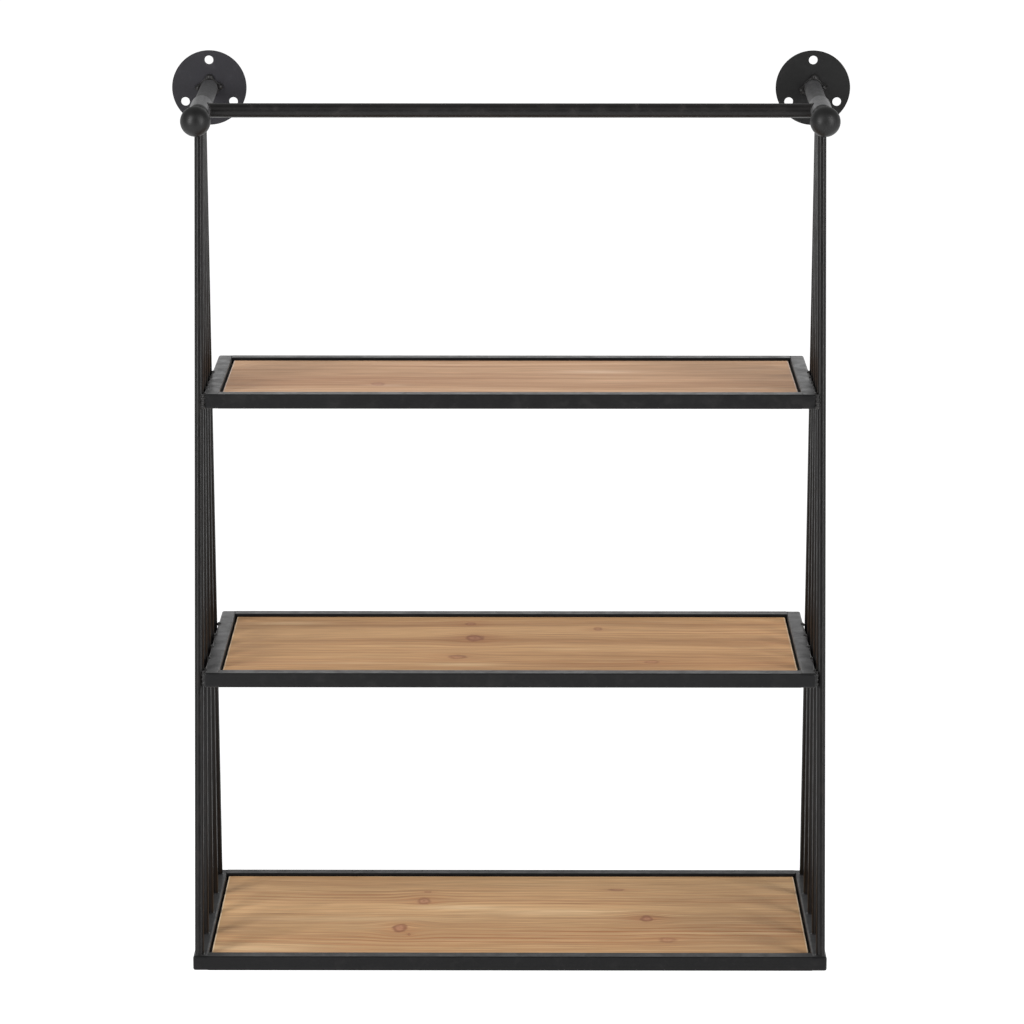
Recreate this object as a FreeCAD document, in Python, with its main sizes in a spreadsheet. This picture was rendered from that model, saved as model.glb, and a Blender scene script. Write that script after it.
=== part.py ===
import FreeCAD, Part
import os

import Sketcher

# Wall-hung shelving unit, in millimetres.
# X runs to the right, Z runs up, the wall is the plane Y = 0 and the room is on the -Y side.
# The origin lies on the wall, midway between the top screw holes of the two wall flanges.

DRIVING_SIZES = {
    # wall flanges and posts; the slope is in degrees
    "post_spacing": 548.0,
    "flange_dia": 67.5,
    "flange_thick": 3.0,
    "screw_hole_dia": 8.0,
    "hole_rim_margin": 4.55,
    "stub_dia": 15.9,
    "stub_wall": 1.6,
    "stub_weld_leg": 2.6,
    "stub_weld_lip": 0.5,
    "slip_clearance": 0.3,
    "sleeve_wall": 1.25,
    "sleeve_back": 100.0,
    "sleeve_length": 70.0,
    "stub_engagement": 55.0,
    "post_slope": 2.9,
    "ball_dia": 26.6,
    "ball_gap": 1.2,
    "ball_plug_length": 8.0,
    # cross rod between the posts
    "cross_rod_dia": 12.7,
    "cross_rod_inset": 23.5,
    "cross_weld_leg": 2.4,
    # fans of rods
    "rod_dia": 7.9,
    "rod_top_inset": 8.0,
    "rod_top_pitch": 9.5,
    "rod_top_tuck": 1.8,
    "rod_splay": 2.6,
    "rod_front_inset": 7.0,
    "rod_back_inset": 15.0,
    "rod_foot_offset": 1.2,
    "rod_weld_dia": 6.0,
    "rod_weld_inset": 1.0,
    "foot_weld_leg": 1.2,
    "foot_weld_lip": 0.6,
    # shelf frames
    "rail_size": 13.0,
    "rail_wall": 1.2,
    "rail_corner": 1.0,
    "side_rail_corner": 2.0,
    "cap_thick": 3.0,
    "cap_edge": 1.8,
    "shelf_rod_gap": 0.05,
    "top_overhang": 3.8,
    "middle_overhang": 12.0,
    "bottom_depth": 271.0,
    "post_to_top": 246.9,
    "top_to_middle": 241.4,
    "middle_to_bottom": 250.3,
    # boards and what holds them
    "board_thick": 10.5,
    "board_side_gap": 2.0,
    "board_end_gap": 1.0,
    "board_bevel": 0.8,
    "ledge_reach": 16.0,
    "ledge_thick": 2.0,
    "ledge_front_gap": 20.0,
    "ledge_back_gap": 3.0,
    "board_screw_setback": 45.0,
    "board_screw_dia": 3.5,
    "board_screw_cover": 2.2,
    "board_screw_head_dia": 7.4,
    "board_screw_crown_dia": 5.6,
    "board_screw_head_height": 2.0,
    "board_screw_tip_gap": 0.5,
    "pilot_clearance": 0.1,
    "ledge_hole_clearance": 0.5,
}

ROD_COUNT = 5
SCREW_HOLE_COUNT = 3
SIDES = {"left": -1, "right": 1}

# Worked-out values, as expressions over the sheet's cells
POST_X = "(Sizes.post_spacing / 2)"
HOLE_CIRCLE_DIA = "(Sizes.flange_dia - Sizes.screw_hole_dia - 2 * Sizes.hole_rim_margin)"
POST_Z = f"(-{HOLE_CIRCLE_DIA} / 2)"
POST_TURN = "90 + Sizes.post_slope"
SLEEVE_BORE_DIA = "(Sizes.stub_dia + 2 * Sizes.slip_clearance)"
SLEEVE_DIA = "(Sizes.stub_dia + 2 * Sizes.slip_clearance + 2 * Sizes.sleeve_wall)"
SLEEVE_FRONT = "(Sizes.sleeve_back + Sizes.sleeve_length)"
CROSS_ROD_REACH = "(Sizes.sleeve_back + Sizes.cross_rod_inset)"
ROD_FOOT_X = f"({POST_X} - Sizes.rod_top_tuck + Sizes.rod_splay)"
LOWER_WIDTH = f"(2 * ({ROD_FOOT_X} - Sizes.rod_foot_offset) + Sizes.rail_size)"
TOP_Z = f"({POST_Z} - Sizes.post_to_top)"
MIDDLE_Z = f"({TOP_Z} - Sizes.top_to_middle)"
BOTTOM_Z = f"({MIDDLE_Z} - Sizes.middle_to_bottom)"
BOARD_SCREW_LENGTH = "(Sizes.ledge_thick + Sizes.board_thick - Sizes.board_screw_cover)"


def post_y(reach):
    """Place on the Y axis of a point on a post's axis, given its distance along the post."""
    return f"(-{reach} * cos(Sizes.post_slope))"


def post_z(reach):
    """Height of a point on a post's axis; the posts fall a little towards the room."""
    return f"({POST_Z} - {reach} * sin(Sizes.post_slope))"


def rod_foot_reach(index):
    """Distance of a rod's foot from the wall; the first rod is the front one."""
    span = "(Sizes.bottom_depth - Sizes.rod_front_inset - Sizes.rod_back_inset)"
    return f"(Sizes.bottom_depth - Sizes.rod_front_inset - {span} * {index} / {ROD_COUNT - 1})"


def rod_top_reach(index):
    """Distance along the post of the point where a rod meets the post's axis."""
    return f"({SLEEVE_FRONT} - Sizes.rod_top_inset - {index} * Sizes.rod_top_pitch)"


def rod_rise(index):
    """Height of the point where a rod meets the post's axis, above the bottom shelf."""
    return f"({post_z(rod_top_reach(index))} - {BOTTOM_Z})"


def rod_lean(index):
    """How far a rod's foot stands out in front of its top."""
    return f"({rod_foot_reach(index)} + {post_y(rod_top_reach(index))})"


def rod_reach_at(index, z):
    """Distance of a rod's axis from the wall at a height."""
    return f"({rod_foot_reach(index)} - {rod_lean(index)} * ({z} - {BOTTOM_Z}) / {rod_rise(index)})"


def rod_x_at(index, z):
    """Distance of a rod's axis from the unit's middle at a height; the fans splay a little downwards."""
    return f"({ROD_FOOT_X} - Sizes.rod_splay * ({z} - {BOTTOM_Z}) / {rod_rise(index)})"


def shelf_depth(z, overhang):
    """Depth of an upper shelf, which reaches a little past the axis of the front rod."""
    return f"({rod_reach_at(0, z)} + {overhang})"


# The upper frames just fit between the fans at the top shelf
UPPER_WIDTH = f"(2 * {rod_x_at(0, TOP_Z)} - Sizes.rod_dia - 2 * Sizes.shelf_rod_gap)"

SHELVES = {
    "top": {"depth": shelf_depth(TOP_Z, "Sizes.top_overhang"), "z": TOP_Z, "width": UPPER_WIDTH},
    "middle": {"depth": shelf_depth(MIDDLE_Z, "Sizes.middle_overhang"), "z": MIDDLE_Z, "width": UPPER_WIDTH},
    "bottom": {"depth": "Sizes.bottom_depth", "z": BOTTOM_Z, "width": LOWER_WIDTH},
}
WELDED_SHELVES = ("top", "middle")

X_AXIS = FreeCAD.Vector(1, 0, 0)
Y_AXIS = FreeCAD.Vector(0, 1, 0)
UPRIGHT = FreeCAD.Rotation()
TOWARDS_ROOM = FreeCAD.Rotation(X_AXIS, 90)
TOWARDS_RIGHT = FreeCAD.Rotation(Y_AXIS, 90)
TOWARDS_LEFT = FreeCAD.Rotation(Y_AXIS, -90)

doc = FreeCAD.newDocument("WallShelf")
nodes = {}


def make_sheet():
    """Put every driving size in its own cell, with its name as the alias."""
    sheet = doc.addObject("Spreadsheet::Sheet", "Sizes")
    for row, (alias, value) in enumerate(DRIVING_SIZES.items(), start=1):
        sheet.set(f"A{row}", alias)
        sheet.set(f"B{row}", str(value))
        sheet.setAlias(f"B{row}", alias)
    doc.recompute()


def bind(obj, expressions):
    """Tie properties of an object to expressions over the sheet."""
    for path, expression in expressions.items():
        obj.setExpression(path, expression)
    return obj


def place(obj, x="0", y="0", z="0", rotation=UPRIGHT):
    """Turn an object once and tie its position to the sheet."""
    obj.Placement = FreeCAD.Placement(FreeCAD.Vector(), rotation)
    return bind(obj, {"Placement.Base.x": x, "Placement.Base.y": y, "Placement.Base.z": z})


def cylinder(name, diameter, height, **position):
    """A cylinder that runs along its own axis from the given position."""
    solid = doc.addObject("Part::Cylinder", name)
    bind(solid, {"Radius": f"{diameter} / 2", "Height": height})
    return place(solid, **position)


def cone(name, start_diameter, end_diameter, height, **position):
    """A cone frustum that runs along its own axis from the given position."""
    solid = doc.addObject("Part::Cone", name)
    bind(solid, {"Radius1": f"{start_diameter} / 2", "Radius2": f"{end_diameter} / 2", "Height": height})
    return place(solid, **position)


def box(name, length, width, height, **position):
    """A block from its lowest corner."""
    solid = doc.addObject("Part::Box", name)
    bind(solid, {"Length": length, "Width": width, "Height": height})
    return place(solid, **position)


def cut(name, base, *tools):
    """Take one or more tools away from a base, one after the other."""
    result = base
    for number, tool in enumerate(tools, start=1):
        step = doc.addObject("Part::Cut", f"{name}_cut_{number}")
        step.Base = result
        step.Tool = tool
        result = step
    return result


def fuse(name, base, tool):
    """Join two solids into one."""
    joined = doc.addObject("Part::Fuse", name)
    joined.Base = base
    joined.Tool = tool
    return joined


def group(name, members):
    """Several separate solids as one node."""
    compound = doc.addObject("Part::Compound", f"{name}_group")
    compound.Links = members
    return compound


def node(name, obj, solid_count=1):
    """Name a finished piece, and note how many solids it has to hold."""
    obj.Label = name
    nodes[name] = (obj, solid_count)
    return obj


def origin_plane(body, role):
    """One of a body's own origin planes."""
    return next(item for item in body.Origin.OriginFeatures if item.Role == role)


def add_rectangle(sketch, name, width, height):
    """A rectangle centred on the sketch's origin, with its two sizes tied to the sheet."""
    first = sketch.GeometryCount
    corners = [FreeCAD.Vector(x, y, 0) for x, y in ((-1, -1), (1, -1), (1, 1), (-1, 1))]
    for index, corner in enumerate(corners):
        sketch.addGeometry(Part.LineSegment(corner, corners[(index + 1) % 4]), False)
    for index in range(4):
        sketch.addConstraint(Sketcher.Constraint("Coincident", first + index, 2, first + (index + 1) % 4, 1))
    for index, direction in enumerate(("Horizontal", "Vertical", "Horizontal", "Vertical")):
        sketch.addConstraint(Sketcher.Constraint(direction, first + index))
    sketch.addConstraint(Sketcher.Constraint("Symmetric", first, 1, first + 2, 1, -1, 1))
    spans = {"width": ("DistanceX", first, width), "height": ("DistanceY", first + 1, height)}
    for span, (kind, line, expression) in spans.items():
        number = sketch.addConstraint(Sketcher.Constraint(kind, line, 1, line, 2, 2.0))
        sketch.renameConstraint(number, f"{name}_{span}")
        sketch.setExpression(f"Constraints.{name}_{span}", expression)


def add_circle(sketch, name, diameter, height=None):
    """A circle on the sketch's vertical axis, at its origin or at a height tied to the sheet."""
    start = FreeCAD.Vector(0, 0 if height is None else 1, 0)
    circle = sketch.addGeometry(Part.Circle(start, FreeCAD.Vector(0, 0, 1), 1.0), False)
    number = sketch.addConstraint(Sketcher.Constraint("Diameter", circle, 2.0))
    sketch.renameConstraint(number, f"{name}_dia")
    sketch.setExpression(f"Constraints.{name}_dia", diameter)
    if height is None:
        sketch.addConstraint(Sketcher.Constraint("Coincident", circle, 3, -1, 1))
        return
    sketch.addConstraint(Sketcher.Constraint("PointOnObject", circle, 3, -2))
    number = sketch.addConstraint(Sketcher.Constraint("DistanceY", -1, 1, circle, 3, 1.0))
    sketch.renameConstraint(number, f"{name}_height")
    sketch.setExpression(f"Constraints.{name}_height", height)


def new_sketch(body, name, role):
    """An empty sketch on one of a body's origin planes."""
    sketch = body.newObject("Sketcher::SketchObject", name)
    sketch.AttachmentSupport = (origin_plane(body, role), "")
    sketch.MapMode = "FlatFace"
    return sketch


def pad(body, name, sketch, length):
    """Give a sketch its thickness."""
    feature = body.newObject("PartDesign::Pad", name)
    feature.Profile = sketch
    feature.setExpression("Length", length)
    doc.recompute()
    return feature


def edges_where(feature, test):
    """Names of a feature's edges that pass a test on the edge."""
    return [f"Edge{number}" for number, edge in enumerate(feature.Shape.Edges, start=1) if test(edge)]


def dress(body, kind, name, feature, edge_names, size_property, size):
    """Round or bevel some edges of a feature."""
    dressing = body.newObject(f"PartDesign::{kind}", name)
    dressing.Base = (feature, edge_names)
    dressing.setExpression(size_property, size)
    doc.recompute()
    return dressing


def runs_along(axis, corner_span):
    """Test for straight edges along an axis that lie on the outside of a square section."""
    def test(edge):
        if not edge.BoundBox.DiagonalLength or len(edge.Vertexes) != 2:
            return False
        start, end = (vertex.Point for vertex in edge.Vertexes)
        along = (end - start).normalize()
        middle = (start + end) / 2
        across = middle - axis * middle.dot(axis)
        return abs(along.dot(axis)) > 0.999 and across.Length > corner_span
    return test


def square_tube(name, role, axis, length, corner, position):
    """A hollow square rail with rounded long edges."""
    body = doc.addObject("PartDesign::Body", name)
    sketch = new_sketch(body, f"{name}_section", role)
    add_rectangle(sketch, "outside", "Sizes.rail_size", "Sizes.rail_size")
    inside = "Sizes.rail_size - 2 * Sizes.rail_wall"
    add_rectangle(sketch, "inside", inside, inside)
    tube = pad(body, f"{name}_tube", sketch, length)
    rail = doc.getObject("Sizes").rail_size
    wall = doc.getObject("Sizes").rail_wall
    long_edges = edges_where(tube, runs_along(axis, (rail - wall) / 2 ** 0.5))
    dress(body, "Fillet", f"{name}_corners", tube, long_edges, "Radius", corner)
    return place(body, **position)


def end_cap(name, inwards, position):
    """The plate that closes a side rail's end; it is rounded except where it runs on into the cross rail."""
    body = doc.addObject("PartDesign::Body", name)
    sketch = new_sketch(body, f"{name}_section", "XZ_Plane")
    add_rectangle(sketch, "outside", "Sizes.rail_size", "Sizes.rail_size")
    plate = pad(body, f"{name}_plate", sketch, "Sizes.cap_thick")
    near = doc.getObject("Sizes").rail_corner

    def outer_side(edge):
        return edge.CenterOfMass.x * inwards < near

    short_edges = edges_where(plate, lambda edge: edge.BoundBox.YLength > near and outer_side(edge))
    rounded = dress(body, "Fillet", f"{name}_corners", plate, short_edges, "Radius", "Sizes.side_rail_corner")
    face_y = rounded.Shape.BoundBox.YMin
    rim = edges_where(rounded, lambda edge: edge.BoundBox.YMax < face_y + 0.01 and outer_side(edge))
    dress(body, "Fillet", f"{name}_rim", rounded, rim, "Radius", "Sizes.cap_edge")
    return place(body, **position)


def make_flange(side, sign):
    """Round wall plate with its ring of screw holes, one of them straight above the post."""
    name = f"{side}_flange"
    body = doc.addObject("PartDesign::Body", name)
    disc_sketch = new_sketch(body, f"{name}_outline", "XZ_Plane")
    add_circle(disc_sketch, "rim", "Sizes.flange_dia")
    disc = pad(body, f"{name}_disc", disc_sketch, "Sizes.flange_thick")
    hole_sketch = new_sketch(body, f"{name}_hole_outline", "XZ_Plane")
    add_circle(hole_sketch, "hole", "Sizes.screw_hole_dia", f"{HOLE_CIRCLE_DIA} / 2")
    hole = body.newObject("PartDesign::Pocket", f"{name}_hole")
    hole.Profile = hole_sketch
    hole.Type = "ThroughAll"
    hole.Reversed = True
    doc.recompute()
    if hole.Shape.Volume >= disc.Shape.Volume:
        raise RuntimeError(f"{name}: the screw hole cuts nothing")
    ring = body.newObject("PartDesign::PolarPattern", f"{name}_hole_ring")
    ring.Originals = [hole]
    ring.Axis = (disc_sketch, ["N_Axis"])
    ring.Angle = 360
    ring.Occurrences = SCREW_HOLE_COUNT
    body.Tip = ring
    doc.recompute()
    place(body, x=f"{sign} * {POST_X}", z=POST_Z)
    return node(name, body)


def post_cylinder(name, sign, diameter, start, length):
    """A cylinder on a post's sloping axis, from a distance along the post."""
    solid = cylinder(name, diameter, length, x=f"{sign} * {POST_X}", y=post_y(start), z=post_z(start),
                     rotation=TOWARDS_ROOM)
    solid.setExpression("Placement.Rotation.Angle", POST_TURN)
    return solid


def make_post(side, sign, behind_flange_face):
    """Stub on the flange, the frame's sleeve that slips over it, and the ball plugged into the sleeve."""
    stub_end = "(Sizes.sleeve_back + Sizes.stub_engagement)"
    outside = post_cylinder(f"{side}_stub_outside", sign, "Sizes.stub_dia", "0", stub_end)
    stub_bore_dia = "(Sizes.stub_dia - 2 * Sizes.stub_wall)"
    bore = post_cylinder(f"{side}_stub_bore", sign, stub_bore_dia, "0", stub_end)
    node(f"{side}_stub", cut(f"{side}_stub", outside, bore, behind_flange_face))

    leg = "Sizes.stub_weld_leg"
    bead = cone(f"{side}_stub_bead", f"(Sizes.stub_dia + 2 * {leg})",
                "(Sizes.stub_dia + 2 * Sizes.stub_weld_lip)", leg,
                x=f"{sign} * {POST_X}", y="-Sizes.flange_thick", z=post_z("Sizes.flange_thick"),
                rotation=TOWARDS_ROOM)
    node(f"{side}_stub_weld", cut(f"{side}_stub_weld", bead, outside))

    back = "Sizes.sleeve_back"
    envelope = post_cylinder(f"{side}_sleeve_outside", sign, SLEEVE_DIA, back, "Sizes.sleeve_length")
    sleeve_bore = post_cylinder(f"{side}_sleeve_bore", sign, SLEEVE_BORE_DIA, back, "Sizes.sleeve_length")
    node(f"{side}_sleeve", cut(f"{side}_sleeve", envelope, sleeve_bore))

    seat = f"sqrt(pow(Sizes.ball_dia; 2) - pow({SLEEVE_DIA}; 2)) / 2"
    centre = f"({SLEEVE_FRONT} + Sizes.ball_gap + {seat})"
    sphere = doc.addObject("Part::Sphere", f"{side}_ball_sphere")
    bind(sphere, {"Radius": "Sizes.ball_dia / 2", "Angle1": f"-acos({SLEEVE_DIA} / Sizes.ball_dia)"})
    place(sphere, x=f"{sign} * {POST_X}", y=post_y(centre), z=post_z(centre), rotation=TOWARDS_ROOM)
    sphere.setExpression("Placement.Rotation.Angle", POST_TURN)
    plug_start = f"({SLEEVE_FRONT} - Sizes.ball_plug_length)"
    plug_length = f"({centre} - {plug_start})"
    plug = post_cylinder(f"{side}_ball_plug", sign, SLEEVE_BORE_DIA, plug_start, plug_length)
    node(f"{side}_ball", fuse(f"{side}_ball_on_plug", sphere, plug))
    return envelope


def make_cross_rod(envelopes):
    """Round bar between the two sleeves, coped to them and welded all round."""
    where = {"y": post_y(CROSS_ROD_REACH), "z": post_z(CROSS_ROD_REACH)}
    bar = cylinder("cross_rod_blank", "Sizes.cross_rod_dia", "Sizes.post_spacing",
                   x=f"-{POST_X}", rotation=TOWARDS_RIGHT, **where)
    node("cross_rod", cut("cross_rod", bar, *envelopes.values()))
    leg = "Sizes.cross_weld_leg"
    wide = f"(Sizes.cross_rod_dia + 2 * {leg})"
    for side, sign in SIDES.items():
        inwards = TOWARDS_RIGHT if sign < 0 else TOWARDS_LEFT
        start = f"{sign} * ({POST_X} - {SLEEVE_DIA} / 2 + {leg})"
        bead = cone(f"{side}_cross_bead", wide, "Sizes.cross_rod_dia", f"2 * {leg}",
                    x=start, rotation=inwards, **where)
        node(f"{side}_cross_weld", cut(f"{side}_cross_weld", bead, bar, envelopes[side]))


def make_fan(side, sign, envelope, below_bottom):
    """Rods that stand on the bottom side rail and draw together under the sleeve."""
    blanks = []
    foot_welds = []
    start_z = f"({BOTTOM_Z} - Sizes.rod_dia)"
    for index in range(ROD_COUNT):
        name = f"{side}_rod_{index + 1}"
        lean = rod_lean(index)
        rise = rod_rise(index)
        sideways = f"hypot({lean}; Sizes.rod_splay)"
        length = f"hypot({sideways}; {rise}) * ({rise} + Sizes.rod_dia) / {rise}"
        blank = cylinder(f"{name}_blank", "Sizes.rod_dia", length, x=f"{sign} * {rod_x_at(index, start_z)}",
                         y=f"-{rod_reach_at(index, start_z)}", z=start_z,
                         rotation=FreeCAD.Rotation(FreeCAD.Vector(-1, -sign, 0), 1))
        bind(blank, {"Placement.Rotation.Axis.x": f"-{lean}",
                     "Placement.Rotation.Axis.y": f"{-sign} * Sizes.rod_splay",
                     "Placement.Rotation.Angle": f"atan2({sideways}; {rise})"})
        node(name, cut(name, blank, envelope, below_bottom))
        leg = "Sizes.foot_weld_leg"
        bead = cone(f"{name}_foot_bead", f"(Sizes.rod_dia + 2 * {leg})",
                    "(Sizes.rod_dia + 2 * Sizes.foot_weld_lip)", leg,
                    x=f"{sign} * {ROD_FOOT_X}", y=f"-{rod_foot_reach(index)}", z=BOTTOM_Z)
        foot_welds.append(cut(f"{name}_foot_weld", bead, blank))
        blanks.append(blank)
    node(f"{side}_foot_welds", group(f"{side}_foot_welds", foot_welds), ROD_COUNT)
    return blanks


def make_rod_welds(shelf, side, sign, blanks):
    """Spots of weld on the top of a side rail, one beside each rod."""
    size = SHELVES[shelf]
    spots = []
    for index, blank in enumerate(blanks):
        name = f"{shelf}_{side}_rod_spot_{index + 1}"
        spot = doc.addObject("Part::Sphere", f"{name}_bead")
        bind(spot, {"Radius": "Sizes.rod_weld_dia / 2"})
        spot.Angle1 = 0
        place(spot, x=f"{sign} * ({size['width']} / 2 - Sizes.rod_weld_inset)",
              y=f"-{rod_reach_at(index, size['z'])}", z=size["z"])
        spots.append(cut(name, spot, blank))
    name = f"{shelf}_{side}_rod_welds"
    node(name, group(name, spots), ROD_COUNT)


def make_frame(shelf):
    """Side rails that run from the wall to the front, with the front and back rails between them."""
    size = SHELVES[shelf]
    middle_z = f"{size['z']} - Sizes.rail_size / 2"
    half = "Sizes.rail_size / 2"
    side_length = f"{size['depth']} - 2 * Sizes.cap_thick"
    for side, sign in SIDES.items():
        name = f"{shelf}_{side}_rail"
        position = {"x": f"{sign} * ({size['width']} / 2 - {half})", "y": "-Sizes.cap_thick", "z": middle_z}
        node(name, square_tube(name, "XZ_Plane", Y_AXIS, side_length, "Sizes.side_rail_corner", position))

    across = f"{size['width']} - 2 * Sizes.rail_size"
    starts = {"back": f"-{half}", "front": f"-({size['depth']} - {half})"}
    for end, y in starts.items():
        name = f"{shelf}_{end}_rail"
        position = {"x": f"-({across}) / 2", "y": y, "z": middle_z}
        node(name, square_tube(name, "YZ_Plane", X_AXIS, across, "Sizes.rail_corner", position))

    caps = []
    about_face = FreeCAD.Rotation(FreeCAD.Vector(0, 0, 1), 180)
    for side, sign in SIDES.items():
        x = f"{sign} * ({size['width']} / 2 - {half})"
        front = {"x": x, "y": f"-({size['depth']} - Sizes.cap_thick)", "z": middle_z}
        back = {"x": x, "y": "-Sizes.cap_thick", "z": middle_z, "rotation": about_face}
        caps.append(end_cap(f"{shelf}_{side}_front_cap", -sign, front))
        caps.append(end_cap(f"{shelf}_{side}_back_cap", sign, back))
    node(f"{shelf}_rail_caps", group(f"{shelf}_rail_caps", caps), len(caps))


def screw_points(shelf):
    """The four places where a board is screwed to its ledges, with the side that each is on."""
    size = SHELVES[shelf]
    points = []
    for side, sign in SIDES.items():
        x = f"{sign} * ({size['width']} / 2 - Sizes.rail_size - Sizes.ledge_reach / 2)"
        setback = "Sizes.board_screw_setback"
        for end, y in (("back", f"-{setback}"), ("front", f"-({size['depth']} - {setback})")):
            points.append((f"{shelf}_{side}_{end}", side, x, y))
    return points


def make_ledges(shelf):
    """Flat steel strips under the side rails that carry the board along nearly its whole depth."""
    size = SHELVES[shelf]
    bottom = f"{size['z']} - Sizes.rail_size - Sizes.ledge_thick"
    across = "(Sizes.ledge_reach + Sizes.rail_size - Sizes.side_rail_corner)"
    along = f"{size['depth']} - Sizes.ledge_front_gap - Sizes.ledge_back_gap"
    hole_dia = "(Sizes.board_screw_dia + Sizes.ledge_hole_clearance)"
    ledges = []
    for side, sign in SIDES.items():
        inner = f"({size['width']} / 2 - Sizes.rail_size - Sizes.ledge_reach)"
        low_x = inner if sign > 0 else f"-({inner} + {across})"
        strip = box(f"{shelf}_{side}_ledge_strip", across, along, "Sizes.ledge_thick",
                    x=low_x, y=f"-({size['depth']} - Sizes.ledge_front_gap)", z=bottom)
        holes = [cylinder(f"{name}_ledge_hole", hole_dia, "Sizes.ledge_thick", x=x, y=y, z=bottom)
                 for name, point_side, x, y in screw_points(shelf) if point_side == side]
        ledges.append(cut(f"{shelf}_{side}_ledge", strip, *holes))
    node(f"{shelf}_board_ledges", group(f"{shelf}_board_ledges", ledges), len(ledges))


def make_screws(shelf):
    """Screws that come up through the ledges into the board."""
    head_seat = f"{SHELVES[shelf]['z']} - Sizes.rail_size - Sizes.ledge_thick"
    screws = []
    for name, _, x, y in screw_points(shelf):
        head = cone(f"{name}_screw_head", "Sizes.board_screw_crown_dia", "Sizes.board_screw_head_dia",
                    "Sizes.board_screw_head_height",
                    x=x, y=y, z=f"{head_seat} - Sizes.board_screw_head_height")
        shank = cylinder(f"{name}_screw_shank", "Sizes.board_screw_dia", BOARD_SCREW_LENGTH,
                         x=x, y=y, z=head_seat)
        screws.append(fuse(f"{name}_screw", head, shank))
    node(f"{shelf}_board_screws", group(f"{shelf}_board_screws", screws), len(screws))


def make_board(shelf):
    """Wooden board that lies inside the frame on the ledges, a little below the rails' top."""
    size = SHELVES[shelf]
    name = f"{shelf}_board"
    width = f"{size['width']} - 2 * Sizes.rail_size - 2 * Sizes.board_side_gap"
    depth = f"{size['depth']} - 2 * Sizes.rail_size - 2 * Sizes.board_end_gap"
    underside = f"{size['z']} - Sizes.rail_size"
    body = doc.addObject("PartDesign::Body", f"{name}_blank")
    sketch = new_sketch(body, f"{name}_outline", "XY_Plane")
    add_rectangle(sketch, "outside", width, depth)
    slab = pad(body, f"{name}_slab", sketch, "Sizes.board_thick")
    upper = slab.Shape.BoundBox.ZMax
    upper_edges = edges_where(slab, lambda edge: edge.BoundBox.ZMin > upper - 0.01)
    dress(body, "Chamfer", f"{name}_bevel", slab, upper_edges, "Size", "Sizes.board_bevel")
    place(body, y=f"-({size['depth']}) / 2", z=underside)
    pilot_depth = "(Sizes.board_thick - Sizes.board_screw_cover + Sizes.board_screw_tip_gap)"
    pilots = [cylinder(f"{point}_pilot", "(Sizes.board_screw_dia + 2 * Sizes.pilot_clearance)", pilot_depth,
                       x=x, y=y, z=underside) for point, _, x, y in screw_points(shelf)]
    node(name, cut(name, body, group(f"{name}_pilots", pilots)))


def check_document():
    """Stop if any object failed to build, or if a piece isn't the solids it should be."""
    doc.recompute()
    for obj in doc.Objects:
        if "Invalid" in obj.State or "Error" in obj.State:
            raise RuntimeError(f"{obj.Label} failed to build: {obj.State}")
    for name, (obj, solid_count) in nodes.items():
        shape = obj.Shape
        if shape.isNull() or not shape.isValid():
            raise RuntimeError(f"{name} has no valid shape")
        if len(shape.Solids) != solid_count:
            raise RuntimeError(f"{name} has {len(shape.Solids)} solids, not {solid_count}")


def export_nodes():
    """Write each piece to its own file, named after it."""
    os.makedirs("parts", exist_ok=True)
    for name, (obj, _) in nodes.items():
        obj.Shape.exportStep(f"parts/{name}.step")


def main():
    make_sheet()
    below_bottom = box("below_bottom_rail_top", "2 * Sizes.post_spacing", "2 * Sizes.bottom_depth",
                       "3 * Sizes.rod_dia", x="-Sizes.post_spacing", y="-1.5 * Sizes.bottom_depth",
                       z=f"{BOTTOM_Z} - 3 * Sizes.rod_dia")
    behind_flange_face = box("behind_flange_face", "2 * Sizes.post_spacing", "Sizes.flange_dia",
                             "2 * Sizes.flange_dia", x="-Sizes.post_spacing", y="-Sizes.flange_thick",
                             z=f"{POST_Z} - Sizes.flange_dia")
    envelopes = {}
    for side, sign in SIDES.items():
        make_flange(side, sign)
        envelopes[side] = make_post(side, sign, behind_flange_face)
    make_cross_rod(envelopes)
    for side, sign in SIDES.items():
        blanks = make_fan(side, sign, envelopes[side], below_bottom)
        for shelf in WELDED_SHELVES:
            make_rod_welds(shelf, side, sign, blanks)
    for shelf in SHELVES:
        make_frame(shelf)
        make_ledges(shelf)
        make_board(shelf)
        make_screws(shelf)
    check_document()
    export_nodes()
    print(f"{len(nodes)} pieces")


main()
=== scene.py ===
from collections import namedtuple
import math

import bmesh
import bpy
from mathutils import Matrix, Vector, noise


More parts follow.
